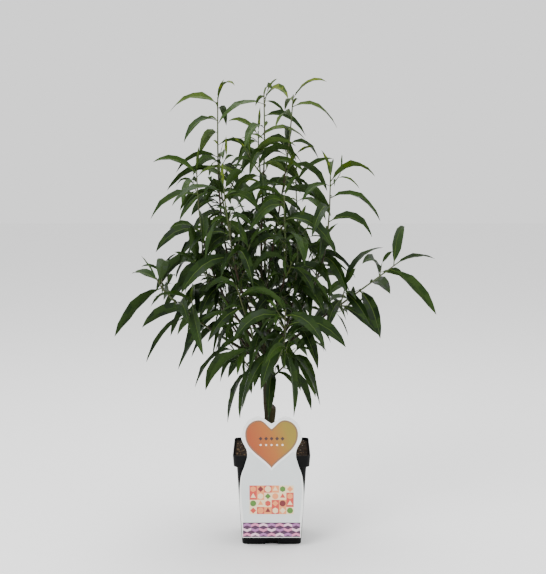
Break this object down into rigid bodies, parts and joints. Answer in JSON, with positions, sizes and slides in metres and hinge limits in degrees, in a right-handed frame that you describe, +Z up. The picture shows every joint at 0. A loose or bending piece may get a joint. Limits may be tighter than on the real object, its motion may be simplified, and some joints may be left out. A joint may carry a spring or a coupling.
{
  "type": "potted dwarf peach tree",
  "caption": "Young dwarf peach tree with upright leafy shoots and narrow drooping leaves, in a square black nursery pot with a heart-topped label card.",
  "frame": {"origin": "centre of the pot's flat underside", "axes": "+Z up the tree, +X to the viewer's right, -Y towards the viewer, where the label card hangs"},
  "size_m": [0.6916, 0.5186, 1.0131],
  "materials": {
    "pot_plastic": "satin black moulded plastic",
    "soil": "rough brown bark compost",
    "card": "printed card with a white border",
    "bark": "matte brown bark",
    "young_bark": "olive-brown young bark",
    "leaves": "satin green leaves"
  },
  "bodies": {
    "root": {"pot": "pot_plastic", "soil": "soil", "label_card": "card", "trunk": "bark", "bough_left_top": "young_bark", "bough_right_top": "young_bark", "bough_right_arm": "young_bark", "bough_left_arm": "young_bark", "bough_right_mid": "young_bark", "bough_left_mid": "young_bark", "bough_front_young": "young_bark", "bough_front_right": "young_bark", "bough_front_left": "young_bark", "bough_back": "young_bark", "bough_back_left": "young_bark", "bough_back_right": "young_bark", "bough_left_low": "young_bark", "bough_right_low": "young_bark", "bough_back_arm_left": "young_bark", "bough_back_arm_right": "young_bark", "bough_front_arm": "young_bark", "foliage_leader": "leaves", "foliage_left_top": "leaves", "foliage_right_top": "leaves", "foliage_right_arm": "leaves", "foliage_left_arm": "leaves", "foliage_right_mid": "leaves", "foliage_left_mid": "leaves", "foliage_front_young": "leaves", "foliage_front_right": "leaves", "foliage_front_left": "leaves", "foliage_back": "leaves", "foliage_back_left": "leaves", "foliage_back_right": "leaves", "foliage_left_low": "leaves", "foliage_right_low": "leaves", "foliage_back_arm_left": "leaves", "foliage_back_arm_right": "leaves", "foliage_front_arm": "leaves", "foliage_spur_low_left": "leaves", "foliage_spur_low_right": "leaves", "foliage_spur_low_back": "leaves", "foliage_spur_low_front": "leaves", "foliage_spur_mid_front": "leaves", "foliage_spur_mid_back": "leaves", "foliage_spur_mid_right": "leaves", "foliage_spur_mid_left": "leaves", "foliage_spur_high_front": "leaves", "foliage_spur_high_back": "leaves"}
  },
  "joints": []
}
